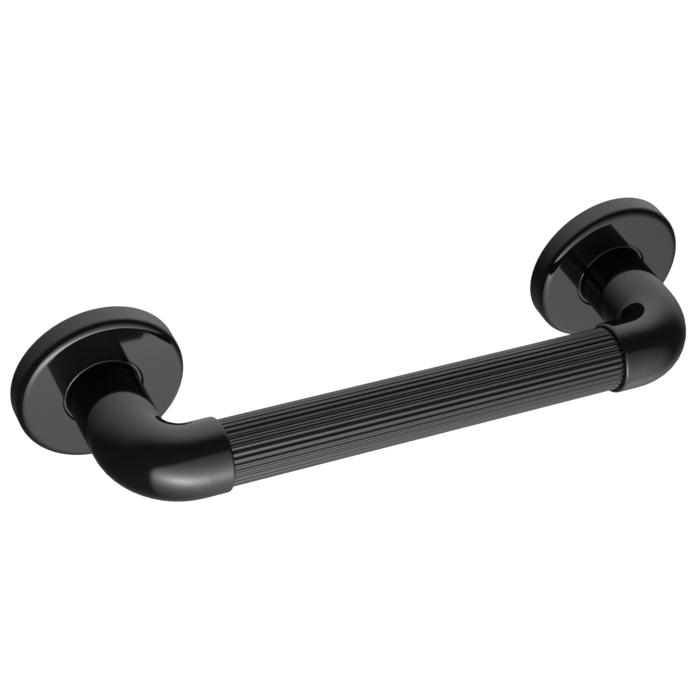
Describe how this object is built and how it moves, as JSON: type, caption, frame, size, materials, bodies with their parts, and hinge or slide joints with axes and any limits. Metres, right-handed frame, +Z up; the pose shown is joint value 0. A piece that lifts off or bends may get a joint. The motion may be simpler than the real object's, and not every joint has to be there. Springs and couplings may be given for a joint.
{
  "type": "grab bar",
  "caption": "Straight wall-mounted grab bar with a fluted round grip, tight elbows at both ends and round clip-on covers that hide the screws.",
  "frame": {"origin": "on the wall plane, midway between the two wall plates", "axes": "+X along the bar, to the right as seen from the room; +Y square into the wall, so the bar stands out towards -Y; +Z up"},
  "size_m": [0.395, 0.0944, 0.09],
  "materials": {
    "grip": "glossy black extruded plastic",
    "elbow": "glossy black moulded plastic",
    "cover": "glossy black moulded plastic"
  },
  "bodies": {
    "root": {"fluted_tube": "grip", "left_elbow": "elbow", "right_elbow": "elbow", "left_cover": "cover", "right_cover": "cover"}
  },
  "joints": []
}
